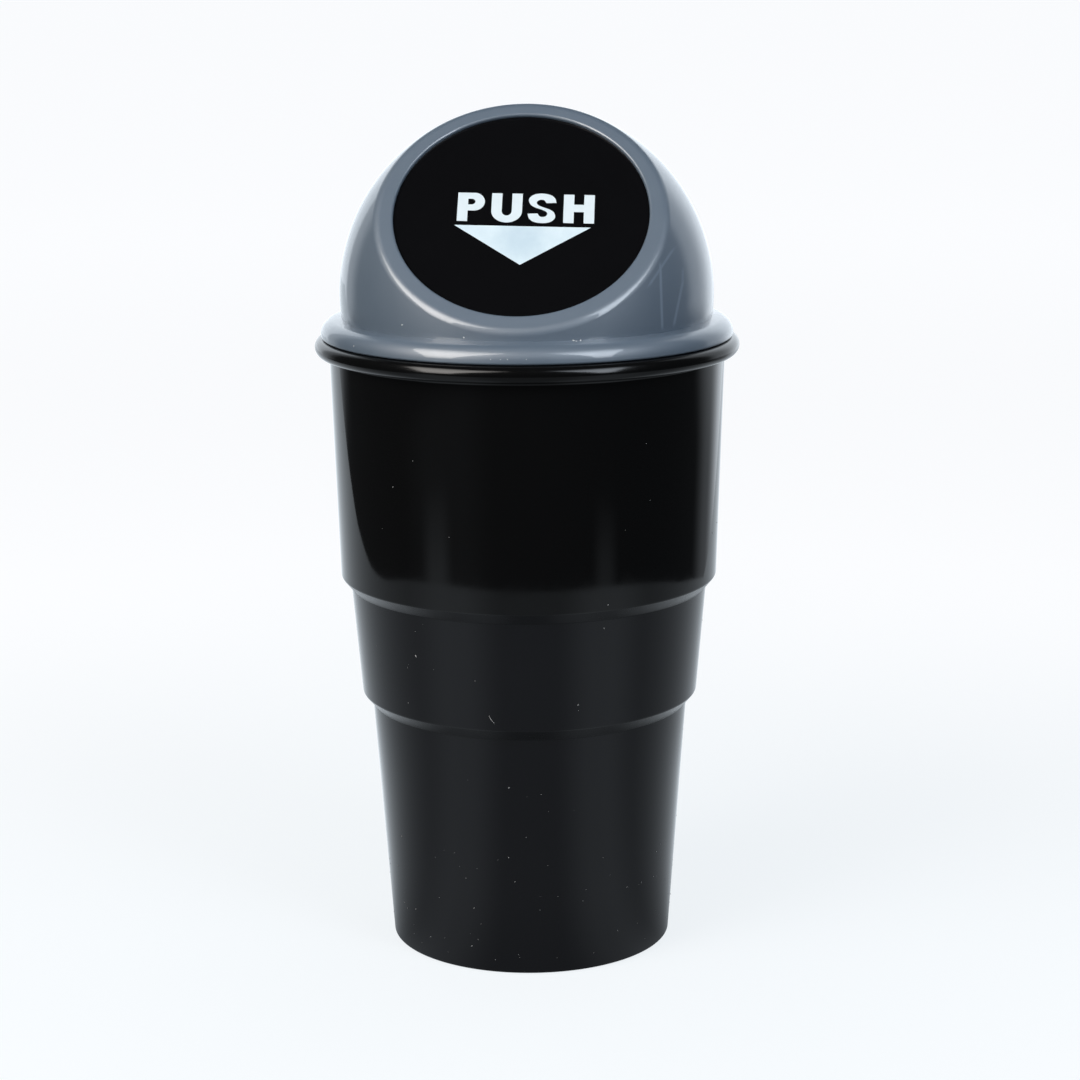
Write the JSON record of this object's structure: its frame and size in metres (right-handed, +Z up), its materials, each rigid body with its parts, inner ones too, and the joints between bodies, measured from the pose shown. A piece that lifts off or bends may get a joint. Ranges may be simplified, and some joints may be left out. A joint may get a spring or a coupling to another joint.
{
  "type": "car trash bin",
  "caption": "Cup-holder trash bin: stepped tapered black cup, domed blue-grey lid that plugs into it, and a round push flap in the lid's slanted mouth, sprung shut on a pin.",
  "frame": {"origin": "centre of the bin's base, on the surface it stands on", "axes": "+Z up along the bin's axis; the slanted mouth faces -Y; +X is along the flap's hinge pin"},
  "size_m": [0.0948, 0.0948, 0.19],
  "materials": {
    "body": "polished moulded",
    "lid": "glossy moulded",
    "flap": "satin moulded, printed",
    "pin": "drawn steel rod",
    "spring": "spring wire"
  },
  "bodies": {
    "bin": {"bin_body": "body"},
    "lid": {"lid_dome": "lid", "hinge_pin": "pin", "torsion_spring": "spring"},
    "flap": {"flap": "flap"}
  },
  "joints": [
    {"name": "lid_lift", "type": "slide", "parent": "bin", "child": "lid", "axis": [0, 0, 1], "range_m": [0, 0.06]},
    {"name": "flap_swing", "type": "hinge", "parent": "lid", "child": "flap", "pos_m": [0, 0.00629, 0.185], "axis": [1, 0, 0], "range_deg": [0, 75], "stiffness_Nm_per_rad": 0.005, "springref_deg": -51.57, "deforming": ["torsion_spring"]}
  ]
}
